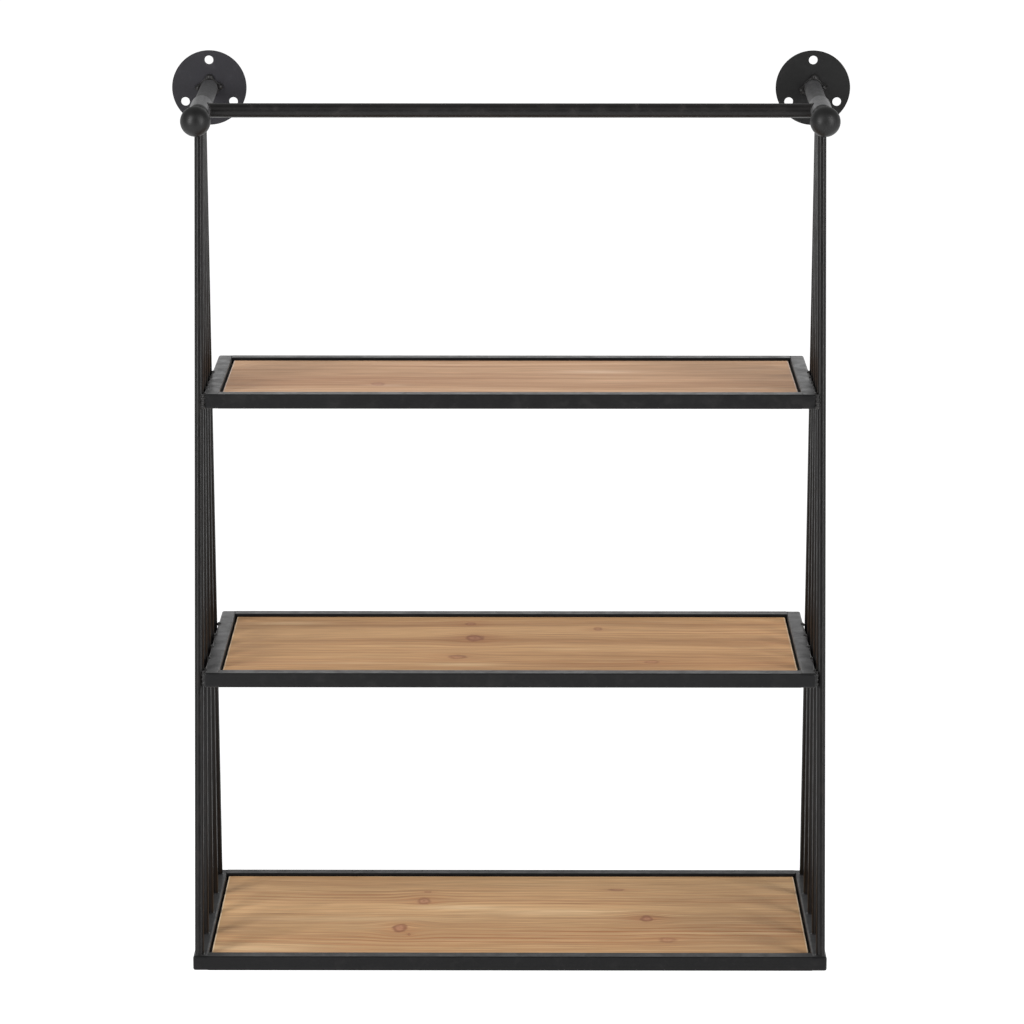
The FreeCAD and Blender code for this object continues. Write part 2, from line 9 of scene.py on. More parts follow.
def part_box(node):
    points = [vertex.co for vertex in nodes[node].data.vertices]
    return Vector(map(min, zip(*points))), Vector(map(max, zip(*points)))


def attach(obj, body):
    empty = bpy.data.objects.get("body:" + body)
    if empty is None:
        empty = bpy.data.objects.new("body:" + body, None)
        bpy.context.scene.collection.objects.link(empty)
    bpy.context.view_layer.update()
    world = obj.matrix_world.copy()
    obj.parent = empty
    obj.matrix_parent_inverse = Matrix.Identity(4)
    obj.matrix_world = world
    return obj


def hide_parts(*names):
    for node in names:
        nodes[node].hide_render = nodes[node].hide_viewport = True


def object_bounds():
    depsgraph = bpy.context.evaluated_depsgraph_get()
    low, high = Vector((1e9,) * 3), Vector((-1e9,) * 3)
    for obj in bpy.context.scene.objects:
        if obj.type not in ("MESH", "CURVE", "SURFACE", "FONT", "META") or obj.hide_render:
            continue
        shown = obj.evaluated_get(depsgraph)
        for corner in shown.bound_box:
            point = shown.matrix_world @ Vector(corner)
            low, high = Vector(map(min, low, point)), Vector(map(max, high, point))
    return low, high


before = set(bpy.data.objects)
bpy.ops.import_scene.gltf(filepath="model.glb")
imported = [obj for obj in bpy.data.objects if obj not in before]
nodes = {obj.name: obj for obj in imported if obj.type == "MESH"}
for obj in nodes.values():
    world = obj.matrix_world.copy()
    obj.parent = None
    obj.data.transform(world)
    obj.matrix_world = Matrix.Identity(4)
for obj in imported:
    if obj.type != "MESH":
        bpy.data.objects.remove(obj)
cad_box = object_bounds()

# Wall-hung shelving unit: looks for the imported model, in metres, in the same frame as the solids.
# X runs to the right, Z up, the wall is Y = 0 and the room is on the -Y side.

SIDES = {"left": -1, "right": 1}
SHELVES = ("top", "middle", "bottom")
WELDED_SHELVES = ("top", "middle")
ROD_COUNT = 5
UP = Vector((0, 0, 1))
AHEAD = Vector((0, -1, 0))

CAMERA_PLACE = (0.0161, -4.0792, 0.4428)
CAMERA_PITCH = 11.935
CAMERA_TURN = 0.214
CAMERA_LEVEL = 90.0
CAMERA_LENS = 158.2
SENSOR_WIDTH = 36.0
CAMERA_REACH = 60.0

FLOOR_DROP = 0.75
FLOOR_SIZE = 60.0
FLOOR_COLOUR = (0.86, 0.86, 0.86, 1)
FLOOR_LIFT = 0.66
WHITE = (1, 1, 1, 1)
WORLD_LIGHT = 0.46

# Sockets of the mix node, which repeat their names for each kind of value
MIX_NUMBERS = (2, 3)
MIX_COLOURS = (6, 7)
MIX_COLOUR_RESULT = 2

BEAD_FACETS = 12
BEAD_RIPPLE = 0.28
BEAD_RIPPLE_SCALE = 420.0
NEARLY_UPRIGHT = 0.9


def srgb(red, green, blue):
    """A colour given in display values from 0 to 255, as the light values that shaders use."""
    def to_light(value):
        share = value / 255
        return share / 12.92 if share <= 0.04045 else ((share + 0.055) / 1.055) ** 2.4
    return (to_light(red), to_light(green), to_light(blue), 1)


class Wiring:
    """Short calls that add nodes to one tree and join them up."""

    def __init__(self, tree):
        self.tree = tree
        self.tree.nodes.clear()

    def feed(self, socket, value):
        """Join an output to a socket, or set the socket to a plain value."""
        if isinstance(value, bpy.types.NodeSocket):
            self.tree.links.new(value, socket)
        else:
            socket.default_value = value

    def math(self, operation, first, second=0.0):
        """One step of arithmetic on outputs or plain values."""
        node = self.tree.nodes.new("ShaderNodeMath")
        node.operation = operation
        self.feed(node.inputs[0], first)
        self.feed(node.inputs[1], second)
        return node.outputs[0]

    def total(self, values):
        """The sum of several values."""
        result = values[0]
        for value in values[1:]:
            result = self.math("ADD", result, value)
        return result

    def split(self, vector):
        """The X, Y and Z of a vector."""
        node = self.tree.nodes.new("ShaderNodeSeparateXYZ")
        self.feed(node.inputs[0], vector)
        return node.outputs[0], node.outputs[1], node.outputs[2]

    def join(self, x, y, z):
        """A vector from its X, Y and Z."""
        node = self.tree.nodes.new("ShaderNodeCombineXYZ")
        for socket, value in zip(node.inputs, (x, y, z)):
            self.feed(socket, value)
        return node.outputs[0]

    def noise(self, vector, scale, detail, roughness=0.5, distortion=0.0):
        """Cloudy noise, from 0 to 1 with its middle at a half."""
        node = self.tree.nodes.new("ShaderNodeTexNoise")
        self.feed(node.inputs["Vector"], vector)
        node.inputs["Scale"].default_value = scale
        node.inputs["Detail"].default_value = detail
        node.inputs["Roughness"].default_value = roughness
        node.inputs["Distortion"].default_value = distortion
        return node.outputs["Fac"]

    def between(self, value, low, high, start=0.0, end=1.0):
        """A smooth step: start below low, end above high."""
        node = self.tree.nodes.new("ShaderNodeMapRange")
        node.interpolation_type = "SMOOTHSTEP"
        for socket, given in zip(node.inputs, (value, low, high, start, end)):
            self.feed(socket, given)
        return node.outputs[0]

    def blend(self, amount, first, second, mode="MIX"):
        """Two colours mixed by an amount."""
        node = self.tree.nodes.new("ShaderNodeMix")
        node.data_type = "RGBA"
        node.blend_type = mode
        self.feed(node.inputs[0], amount)
        for socket, value in zip(MIX_COLOURS, (first, second)):
            self.feed(node.inputs[socket], value)
        return node.outputs[MIX_COLOUR_RESULT]

    def bump(self, height, distance, strength):
        """A normal that follows the slopes of a height."""
        node = self.tree.nodes.new("ShaderNodeBump")
        self.feed(node.inputs["Height"], height)
        node.inputs["Distance"].default_value = distance
        node.inputs["Strength"].default_value = strength
        return node.outputs["Normal"]


class Finish(Wiring):
    """The wiring of one new material with a single shader."""

    def __init__(self, name):
        self.material = bpy.data.materials.new(name)
        self.material.use_nodes = True
        super().__init__(self.material.node_tree)
        self.shader = self.tree.nodes.new("ShaderNodeBsdfPrincipled")
        output = self.tree.nodes.new("ShaderNodeOutputMaterial")
        self.tree.links.new(self.shader.outputs["BSDF"], output.inputs["Surface"])
        self.place = self.tree.nodes.new("ShaderNodeTexCoord").outputs["Object"]

    def set(self, socket_name, value):
        """Feed one of the shader's own sockets."""
        self.feed(self.shader.inputs[socket_name], value)


# Black powder coat
PATCH_SCALE = 9.0
PATCH_EDGES = (0.32, 0.68)
PATCH_SHADE = 0.72
SCUFF_EDGES = (0.50, 0.76)
SCUFF_STRENGTH = 0.55
SCUFF_ROUGH_EDGES = (0.30, 0.72)
SCUFF_SMOOTHER = 0.06
SCUFF_ROUGHER = 0.10
GRAIN_SCALE = 1500.0
GRAIN_EDGES = (0.35, 0.75)
GRAIN_STRENGTH = 0.25
GRAIN_BUMP = 0.6
COAT_GLOSS = 0.22
# The black and the gloss of the painted shade band on the sleeves
SHADE_BLACK = srgb(8, 8, 8)
SHADE_GLOSS = 0.04
SHEEN_SPREAD = 0.45


def powder_coat(name, colour, worn, roughness, scuff_scale=70.0, grain_depth=0.00008, gloss=COAT_GLOSS,
                sheen=0.0, painted_shade_band=None):
    """Satin black paint with a fine grain, cloudy patches and scuffs that are a little paler and rougher,
    and, where asked, a matt black band of painted shade.
    """
    wire = Finish(name)
    patches = wire.noise(wire.place, PATCH_SCALE, detail=3.0)
    scuffs = wire.noise(wire.place, scuff_scale, detail=5.0, roughness=0.62, distortion=0.5)
    grain = wire.noise(wire.place, GRAIN_SCALE, detail=2.0)
    cloud = tuple(channel * PATCH_SHADE for channel in colour[:3]) + (1,)
    base = wire.blend(wire.between(patches, *PATCH_EDGES), cloud, colour)
    base = wire.blend(wire.between(scuffs, *SCUFF_EDGES, 0.0, SCUFF_STRENGTH), base, worn)
    base = wire.blend(wire.between(grain, *GRAIN_EDGES, 0.0, GRAIN_STRENGTH), base, worn)
    # Painted shade: a matt black band without gloss just behind each ball, where shade falls
    if painted_shade_band:
        y = wire.split(wire.place)[1]
        base = wire.blend(wire.between(y, *painted_shade_band, 1.0, 0.0), base, SHADE_BLACK)
        gloss = wire.between(y, *painted_shade_band, SHADE_GLOSS, gloss)
    smoothest = roughness - SCUFF_SMOOTHER
    roughest = roughness + SCUFF_ROUGHER
    wire.set("Base Color", base)
    wire.set("Roughness", wire.between(scuffs, *SCUFF_ROUGH_EDGES, smoothest, roughest))
    wire.set("Specular IOR Level", gloss)
    wire.set("Sheen Weight", sheen)
    wire.set("Sheen Roughness", SHEEN_SPREAD)
    wire.set("Normal", wire.bump(grain, grain_depth, GRAIN_BUMP))
    return wire.material


# Painted shade: the sleeves turn matt black towards the balls, where shade falls behind each ball, between
# these two places along Y
SLEEVE_SHADE_BAND = (-0.149, -0.145)

RAIL_COAT = powder_coat("rail_coat", srgb(13, 13, 14), srgb(30, 29, 29), roughness=0.35, gloss=0.17,
                        sheen=0.10)
BOTTOM_COAT = powder_coat("bottom_rail_coat", srgb(13, 13, 14), srgb(29, 28, 28), roughness=0.38, gloss=0.14,
                          sheen=0.06)
ROD_COAT = powder_coat("rod_coat", srgb(9, 8, 8), srgb(28, 24, 22), roughness=0.36, gloss=0.20)
CROSS_COAT = powder_coat("cross_rod_coat", srgb(20, 19, 19), srgb(42, 39, 38), roughness=0.34, gloss=0.20)
# Painted light and shade: both flanges have the same black paint; the left is painted lighter and the right
# darker for how the light falls on each
LIT_FLANGE_COAT = powder_coat("lit_left_flange_coat", srgb(32, 31, 35), srgb(48, 47, 51), roughness=0.55,
                               scuff_scale=120.0)
SHADED_FLANGE_COAT = powder_coat("shaded_right_flange_coat", srgb(12, 12, 12), srgb(24, 24, 24), roughness=0.55,
                                scuff_scale=120.0)
# Partly painted light: the stubs and sleeves are the same black paint, made grey partly as a coarser, paler
# coat and partly as painted light for the light on their tops; the sleeves also carry the painted shade band
LIT_STUB_COAT = powder_coat("lit_stub_coat", srgb(64, 64, 65), srgb(108, 108, 108), roughness=0.48,
                        grain_depth=0.00016)
SLEEVE_LIGHT_AND_SHADE_COAT = powder_coat("sleeve_light_and_shade_coat", srgb(76, 76, 78), srgb(132, 132, 132), roughness=0.36,
                          scuff_scale=160.0, grain_depth=0.00020, gloss=0.50, painted_shade_band=SLEEVE_SHADE_BAND)
BALL_COAT = powder_coat("ball_coat", srgb(10, 10, 10), srgb(19, 19, 19), roughness=0.45, grain_depth=0.00004,
                        gloss=0.28)
WELD_COAT = powder_coat("weld_coat", srgb(26, 25, 25), srgb(72, 71, 70), roughness=0.34, scuff_scale=260.0,
                        grain_depth=0.00022)


# Wooden boards
WOOD_HONEY = srgb(208, 164, 112)
WOOD_TAN = srgb(184, 141, 94)
WOOD_BROWN = srgb(150, 104, 64)
WOOD_RUST = srgb(164, 102, 60)
WOOD_PALE = srgb(230, 196, 146)
# Painted shadow of the rods, streaked over the board ends
WOOD_ROD_SHADOW = srgb(112, 88, 66)
# Painted shade on the board's sides, down in the gaps beside the rails
WOOD_SIDE_SHADE = srgb(46, 33, 24)
KNOT_HEART = srgb(166, 112, 84)
KNOT_RING = srgb(118, 68, 46)
# Painted highlight on the bevelled end edges
BEVEL_HIGHLIGHT = srgb(242, 214, 170)
WOOD_GLOSS = 0.08
WOOD_ROUGH_EDGES = (0.35, 0.70)
WOOD_ROUGHNESS = (0.50, 0.62)
RELIEF_DEPTH = 0.00012
RELIEF_BUMP = 0.5
FIBRE_RELIEF = 0.6

# Each grain pattern: changes per metre along and across the grain, its place in the noise, detail, roughness
PATTERNS = {
    "zones": (1.0, 17.0, 0.0, 2.0, 0.5),
    "bands": (1.8, 62.0, 1.3, 3.0, 0.5),
    "fine": (6.0, 420.0, 2.9, 2.0, 0.6),
    "fibre": (26.0, 1300.0, 4.1, 2.0, 0.5),
    "line_wander": (1.1, 9.0, 7.7, 2.0, 0.5),
    "line_share": (1.3, 24.0, 3.3, 2.0, 0.5),
    # painted shadow of the rods near the board ends
    "shadow_streaks": (14.0, 42.0, 9.5, 3.0, 0.5),
}

# Where each pattern starts and ends to show, and how strongly
ZONE_EDGES = (0.36, 0.64)
BAND_EDGES = (0.50, 0.76)
BAND_STRENGTH = 0.58
PALE_EDGES = (0.54, 0.76)
PALE_STRENGTH = 0.55
RUST_EDGES = (0.24, 0.46)
RUST_STRENGTH = 0.45
STREAK_STRENGTH = 0.7
FIBRE_EDGES = (0.28, 0.72)
FIBRE_SHADES = (0.80, 1.13)
# Painted shading: where along X the change towards the right end starts and ends, in metres
RIGHT_SHADING_SPAN = (0.06, 0.24)

# Growth rings, which sway slowly, lean through the board and show as thin lines
SWAY_ALONG = 2.2
SWAY_ACROSS = 6.0
SWAY_REACH = 0.055
NOISE_MIDDLE = 0.5
RING_TILT = 0.9
LINES_PER_METRE = 95.0
LINE_WANDER = 5.0
LINE_RISE = (0.42, 0.90)
LINE_FALL = (0.93, 1.0)
LINE_SHARE_EDGES = (0.46, 0.70)
LINE_SHARES = (0.05, 0.45)
LINE_STRENGTH = 0.78

# Knots: reaches are shares of a knot's half size
BEND_REACH = (3.2, 1.9)
BEND_STRENGTH = 0.85
BEND_EXTRA = 0.2
WOBBLE_SCALE = 120.0
WOBBLE_REACH = 0.9
HALO_REACH = (2.6, 1.25)
HALO_STRENGTH = 0.40
HEART_EDGES = (0.75, 1.60)
HEART_STRENGTH = 0.62
KNOT_RING_INNER = (0.75, 1.10)
KNOT_RING_OUTER = (1.15, 1.55)
KNOT_RING_STRENGTH = 0.55
KNOT_CENTRE = (0.42, 0.66)
KNOT_CENTRE_STRENGTH = 0.55

# Board ends and edges, as distances in metres from the end or below the top
# Painted shadow of the rod fans: how far in from each end it reaches, where its streaks show and how dark
ROD_SHADOW_DEPTH = 0.060
ROD_SHADOW_EDGES = (0.42, 0.70)
ROD_SHADOW_STRENGTH = 0.30
# Painted highlight along the bevel at each end
BEVEL_HIGHLIGHT_SPAN = (0.0008, 0.0016)
BEVEL_HIGHLIGHT_STRENGTH = 0.85
# Painted shade on the sides starts this far below the top
SIDE_SHADE_START = (0.0009, 0.0014)

# Each mark on a board: its place along and across, its half sizes, all in millimetres, and its strength
MILLIMETRE = 0.001
Mark = namedtuple("Mark", "along across half_along half_across strength")
BOARDS = {
    "bottom_board": {
        "seed": 3.7,
        "tint": (1.06, 1.12, 1.29, 1),
        "right_end_shading": 0.79,
        "knots": (
            (-80, -94, 7, 12, 0.75),
            (-100, -178, 7.5, 14, 1.0),
            (-91, -197, 1.6, 3.5, 1.0),
            (-77, -65, 4, 3, 0.6),
            (98, -58, 8, 4, 0.65),
            (124, -148, 7, 10, 0.9),
            (141, -213, 9, 8, 0.55),
        ),
        "line_groups": (
            (-150, -78, 120, 15, 0.9),
            (-40, -212, 250, 18, 0.9),
            (70, -95, 190, 14, 0.7),
            (140, -190, 150, 14, 0.8),
        ),
        "pale_streaks": (
            (-48, -114, 42, 6, 0.8),
            (-235, -238, 70, 12, 0.6),
            (-150, -150, 110, 8, 0.4),
            (30, -130, 60, 12, 0.5),
        ),
    },
    "middle_board": {
        "seed": 8.2,
        "tint": (0.96, 0.965, 1.08, 1),
        "right_end_shading": 1.14,
        "knots": (
            (-37, -42, 6, 7, 0.7),
            (-32, -98, 9, 14, 0.9),
            (-47, -170, 9, 9, 0.65),
            (80, -62, 5, 7, 0.6),
            (126, -188, 8, 6, 0.55),
        ),
        "line_groups": (
            (-200, -188, 120, 12, 0.7),
            (180, -75, 110, 16, 0.7),
            (90, -190, 150, 14, 0.5),
        ),
        "pale_streaks": (
            (-203, -40, 34, 5, 0.8),
            (-42, -198, 36, 5, 0.9),
            (-150, -193, 70, 4, 0.5),
        ),
    },
    "top_board": {
        "seed": 14.9,
        "tint": (1.07, 1.15, 1.62, 1),
        "right_end_shading": 0.87,
        "knots": (
            (-118, -134, 7, 9, 0.5),
        ),
        "line_groups": (
            (-150, -110, 130, 16, 0.6),
            (170, -120, 120, 16, 0.5),
        ),
        "pale_streaks": (
            (80, -72, 36, 8, 0.7),
            (-112, -140, 20, 6, 0.5),
        ),
    },
}


def mark_offsets(wire, x, y, mark):
    """Distances from a mark along and across the board, each as a share of the mark's half size."""
    from_along = wire.math("SUBTRACT", x, mark.along * MILLIMETRE)
    from_across = wire.math("SUBTRACT", y, mark.across * MILLIMETRE)
    along = wire.math("DIVIDE", from_along, mark.half_along * MILLIMETRE)
    across = wire.math("DIVIDE", from_across, mark.half_across * MILLIMETRE)
    return along, across


def falloff(wire, along, across, reach_along=1.0, reach_across=1.0):
    """A soft bell that is 1 at a mark's centre."""
    far_along = wire.math("POWER", wire.math("DIVIDE", along, reach_along), 2.0)
    far_across = wire.math("POWER", wire.math("DIVIDE", across, reach_across), 2.0)
    return wire.math("EXPONENT", wire.math("MULTIPLY", wire.math("ADD", far_along, far_across), -1.0))


def bend_round_knots(wire, x, y, knots):
    """Where each point lies across the grain once the lines flow round the knots."""
    shifts = [y]
    for knot in knots:
        along, across = mark_offsets(wire, x, y, knot)
        bell = falloff(wire, along, across, *BEND_REACH)
        strength = -BEND_STRENGTH * min(1.0, knot.strength + BEND_EXTRA)
        reach = wire.math("MULTIPLY", across, knot.half_across * MILLIMETRE * strength)
        shifts.append(wire.math("MULTIPLY", reach, bell))
    return wire.total(shifts)


def streaks(wire, x, ring, pattern, seed):
    """Bands that run far along the grain and change quickly across it."""
    along, across, place, detail, roughness = PATTERNS[pattern]
    x = wire.math("MULTIPLY", x, along)
    ring = wire.math("MULTIPLY", ring, across)
    return wire.noise(wire.join(x, ring, seed + place), 1.0, detail, roughness)


def ring_lines(wire, x, ring, y, seed, groups):
    """Thin dark lines of late wood, in the groups where the board shows them and faintly elsewhere."""
    wander = wire.math("MULTIPLY", streaks(wire, x, ring, "line_wander", seed), LINE_WANDER)
    phase = wire.math("FRACT", wire.math("ADD", wire.math("MULTIPLY", ring, LINES_PER_METRE), wander))
    line = wire.math("MULTIPLY", wire.between(phase, *LINE_RISE), wire.between(phase, *LINE_FALL, 1.0, 0.0))
    shares = [wire.between(streaks(wire, x, ring, "line_share", seed), *LINE_SHARE_EDGES, *LINE_SHARES)]
    for group in groups:
        bell = falloff(wire, *mark_offsets(wire, x, y, group))
        shares.append(wire.math("MULTIPLY", bell, group.strength))
    return wire.math("MULTIPLY", line, wire.math("MULTIPLY", wire.total(shares), LINE_STRENGTH))


def paint_knots(wire, x, y, colour, knots, seed):
    """A ringed reddish heart at each knot, with a soft brown halo along the grain."""
    noise_here = wire.noise(wire.join(x, y, seed), WOBBLE_SCALE, detail=3.0)
    for knot in knots:
        along, across = mark_offsets(wire, x, y, knot)
        halo = falloff(wire, along, across, *HALO_REACH)
        colour = wire.blend(wire.math("MULTIPLY", halo, HALO_STRENGTH * knot.strength), colour, WOOD_RUST)
        spread = wire.math("ADD", wire.math("MULTIPLY", along, along), wire.math("MULTIPLY", across, across))
        wobble = wire.math("MULTIPLY", noise_here, WOBBLE_REACH)
        radius = wire.math("ADD", wire.math("SQRT", spread), wobble)
        heart = wire.between(radius, *HEART_EDGES, HEART_STRENGTH * knot.strength, 0.0)
        colour = wire.blend(heart, colour, KNOT_HEART)
        inner = wire.between(radius, *KNOT_RING_INNER)
        outer = wire.between(radius, *KNOT_RING_OUTER)
        edge = wire.math("MULTIPLY", wire.math("SUBTRACT", inner, outer), KNOT_RING_STRENGTH * knot.strength)
        colour = wire.blend(edge, colour, KNOT_RING)
        centre = wire.between(radius, *KNOT_CENTRE, KNOT_CENTRE_STRENGTH * knot.strength, 0.0)
        colour = wire.blend(centre, colour, KNOT_RING)
    return colour


def paint_ends(wire, name, x, y, z, colour, seed):
    """Painted shadow of the rods in streaks over the ends, a painted highlight along the bevelled end edge,
    and painted shade on the sides below the edge.
    """
    low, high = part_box(name)
    half = (high.x - low.x) / 2
    from_end = wire.math("SUBTRACT", half, wire.math("ABSOLUTE", x))
    # Painted shadow of the rods: soft dark streaks near each end
    shadow_streaks = streaks(wire, x, y, "shadow_streaks", seed)
    near_end = wire.between(from_end, 0.0, ROD_SHADOW_DEPTH, 1.0, 0.0)
    rod_shadow = wire.math("MULTIPLY", near_end, wire.between(shadow_streaks, *ROD_SHADOW_EDGES, 0.0, ROD_SHADOW_STRENGTH))
    colour = wire.blend(rod_shadow, colour, WOOD_ROD_SHADOW)
    # Painted highlight: a pale line along each bevelled end edge
    colour = wire.blend(wire.between(from_end, *BEVEL_HIGHLIGHT_SPAN, BEVEL_HIGHLIGHT_STRENGTH, 0.0), colour, BEVEL_HIGHLIGHT)
    # Painted shade: the sides below the top edge, in the gaps beside the rails, turn dark
    below = wire.math("SUBTRACT", high.z, z)
    return wire.blend(wire.between(below, *SIDE_SHADE_START), colour, WOOD_SIDE_SHADE)


def wood(name, seed, tint, right_end_shading, knots, line_groups, pale_streaks):
    """Planed knotty softwood with its grain along X, with painted shading at its right end, darker on some
    boards and lighter on others.
    """
    wire = Finish(f"{name}_wood")
    knots = [Mark(*knot) for knot in knots]
    line_groups = [Mark(*group) for group in line_groups]
    pale_streaks = [Mark(*streak) for streak in pale_streaks]
    x, y, z = wire.split(wire.place)
    slow = wire.join(wire.math("MULTIPLY", x, SWAY_ALONG), wire.math("MULTIPLY", y, SWAY_ACROSS), seed)
    sway = wire.math("SUBTRACT", wire.noise(slow, 1.0, detail=1.0), NOISE_MIDDLE)
    sway = wire.math("MULTIPLY", sway, SWAY_REACH)
    ring = wire.total([bend_round_knots(wire, x, y, knots), sway, wire.math("MULTIPLY", z, RING_TILT)])

    zones = streaks(wire, x, ring, "zones", seed)
    bands = streaks(wire, x, ring, "bands", seed)
    fine = streaks(wire, x, ring, "fine", seed)
    fibre = streaks(wire, x, ring, "fibre", seed)

    colour = wire.blend(wire.between(zones, *ZONE_EDGES), WOOD_TAN, WOOD_HONEY)
    colour = wire.blend(wire.between(bands, *BAND_EDGES, 0.0, BAND_STRENGTH), colour, WOOD_BROWN)
    colour = wire.blend(ring_lines(wire, x, ring, y, seed, line_groups), colour, WOOD_RUST)
    colour = wire.blend(wire.between(fine, *PALE_EDGES, 0.0, PALE_STRENGTH), colour, WOOD_PALE)
    colour = wire.blend(wire.between(fine, *RUST_EDGES, RUST_STRENGTH, 0.0), colour, WOOD_RUST)
    for streak in pale_streaks:
        bell = falloff(wire, *mark_offsets(wire, x, y, streak))
        colour = wire.blend(wire.math("MULTIPLY", bell, STREAK_STRENGTH * streak.strength), colour, WOOD_PALE)
    colour = paint_knots(wire, x, y, colour, knots, seed)
    colour = paint_ends(wire, name, x, y, z, colour, seed)
    fibre_shade = wire.between(fibre, *FIBRE_EDGES, *FIBRE_SHADES)
    # Painted shading at the right end: darker on the top and bottom boards, lighter on the middle one
    shade = wire.math("MULTIPLY", fibre_shade, wire.between(x, *RIGHT_SHADING_SPAN, 1.0, right_end_shading))
    colour = wire.blend(1.0, colour, wire.join(shade, shade, shade), "MULTIPLY")
    colour = wire.blend(1.0, colour, tint, "MULTIPLY")

    wire.set("Base Color", colour)
    wire.set("Roughness", wire.between(fine, *WOOD_ROUGH_EDGES, *WOOD_ROUGHNESS))
    wire.set("Specular IOR Level", WOOD_GLOSS)
    relief = wire.math("ADD", wire.math("MULTIPLY", fibre, FIBRE_RELIEF), fine)
    wire.set("Normal", wire.bump(relief, RELIEF_DEPTH, RELIEF_BUMP))
    return wire.material


# Plated screws
ZINC_DARK = srgb(150, 152, 156)
ZINC_LIGHT = srgb(196, 197, 198)
SPANGLE_SCALE = 900.0
SPANGLE_EDGES = (0.35, 0.65)
SPANGLE_ROUGH_EDGES = (0.30, 0.70)
ZINC_ROUGHNESS = (0.28, 0.48)
SPANGLE_DEPTH = 0.00005
SPANGLE_BUMP = 0.4


def zinc(name):
    """Zinc plating with a cloudy spangle."""
    wire = Finish(name)
    spangle = wire.noise(wire.place, SPANGLE_SCALE, detail=3.0, distortion=1.2)
    wire.set("Base Color", wire.blend(wire.between(spangle, *SPANGLE_EDGES), ZINC_DARK, ZINC_LIGHT))
    wire.set("Metallic", 1.0)
    wire.set("Roughness", wire.between(spangle, *SPANGLE_ROUGH_EDGES, *ZINC_ROUGHNESS))
    wire.set("Normal", wire.bump(spangle, SPANGLE_DEPTH, SPANGLE_BUMP))
    return wire.material


ZINC = zinc("screw_zinc")


def paint(node_name, material):
    """Give a solid its finish."""
    slots = nodes[node_name].data.materials
    slots.clear()
    slots.append(material)


def paint_solids():
    """Every solid gets the finish of what it is on the real object, but the flanges, stubs and sleeves get
    copies of the black paint with painted light and shade.
    """
    finishes = {
        "left_flange": LIT_FLANGE_COAT,
        "right_flange": SHADED_FLANGE_COAT,
        "stub": LIT_STUB_COAT,
        "sleeve": SLEEVE_LIGHT_AND_SHADE_COAT,
        "ball": BALL_COAT,
        "cross_rod": CROSS_COAT,
    }
    for name in nodes:
        if name in BOARDS:
            paint(name, wood(name, **BOARDS[name]))
        elif name.endswith("_screws"):
            paint(name, ZINC)
        elif "_rod_" in name and not name.endswith("_welds"):
            paint(name, ROD_COAT)
        else:
            kind = next((kind for kind in finishes if name.endswith(kind)), None)
            rails = BOTTOM_COAT if name.startswith("bottom_") else RAIL_COAT
            paint(name, finishes.get(kind, rails))


def angles_round(steps):
    """Even angles once round a circle."""
    return [math.tau * step / steps for step in range(steps)]


def bead(path, radii, closed=False):
    """A lumpy round bead of weld along a path, as rings of points."""
    count = len(path)
    rings = []
    for index, point in enumerate(path):
        before = path[index - 1] if closed or index else point
        after = path[(index + 1) % count] if closed or index < count - 1 else point
        along = (after - before).normalized()
        aside = along.cross(UP if abs(along.z) < NEARLY_UPRIGHT else AHEAD).normalized()
        lift = aside.cross(along)
        ring = []
        for angle in angles_round(BEAD_FACETS):
            outwards = aside * math.cos(angle) + lift * math.sin(angle)
            ripple = noise.noise((point + outwards * radii[index]) * BEAD_RIPPLE_SCALE)
            ring.append(point + outwards * radii[index] * (1 + BEAD_RIPPLE * ripple))
        rings.append(ring)
    return rings, closed


def add_skin(builder, rings, closed):
    """Join rings of points into a skin that closes on itself or has its two ends capped."""
    rings = [[builder.verts.new(point) for point in ring] for ring in rings]
    following = rings[1:] + rings[:1] if closed else rings[1:]
    for ring, next_ring in zip(rings, following):
        for facet in range(len(ring)):
            turn = (facet + 1) % len(ring)
            builder.faces.new((ring[facet], ring[turn], next_ring[turn], next_ring[facet]))
    if not closed:
        builder.faces.new(reversed(rings[0]))
        builder.faces.new(rings[-1])


def weld(name, body, skins, *replaced):
    """One piece made of several welds, each given as rings of points and whether it closes on itself."""
    builder = bmesh.new()
    for rings, closed in skins:
        add_skin(builder, rings, closed)
    bmesh.ops.recalc_face_normals(builder, faces=builder.faces)
    mesh = bpy.data.meshes.new(name)
    builder.to_mesh(mesh)
    builder.free()
    mesh.shade_smooth()
    piece = bpy.data.objects.new(name, mesh)
    bpy.context.scene.collection.objects.link(piece)
    mesh.materials.append(WELD_COAT)
    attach(piece, body)
    if replaced:
        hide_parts(*replaced)


def middle_of(name):
    """The middle of a solid's box."""
    low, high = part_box(name)
    return (low + high) / 2


def half_size(name):
    """Half the size of a solid's box."""
    low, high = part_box(name)
    return (high - low) / 2


def ring_middle(points):
    """The middle of a ring of points, along X and Y."""
    xs = [point.x for point in points]
    ys = [point.y for point in points]
    return (min(xs) + max(xs)) / 2, (min(ys) + max(ys)) / 2


def rod_line(name):
    """The foot and the top of a slanted rod's axis, from its solid."""
    points = [vertex.co for vertex in nodes[name].data.vertices]
    ends = []
    for pick, reach in ((min, ROD_FOOT_BAND), (max, ROD_TOP_BAND)):
        level = pick(point.z for point in points)
        x, y = ring_middle([point for point in points if abs(point.z - level) < reach])
        ends.append(Vector((x, y, level)))
    return ends


def on_rod(line, z):
    """The point of a rod's axis at a height."""
    foot, top = line
    return foot + (top - foot) * ((z - foot.z) / (top.z - foot.z))


def swell(length, widest, ends):
    """Radii of a short bead that is widest in its middle."""
    return [ends + (widest - ends) * math.sin(math.pi * step / (length - 1)) for step in range(length)]


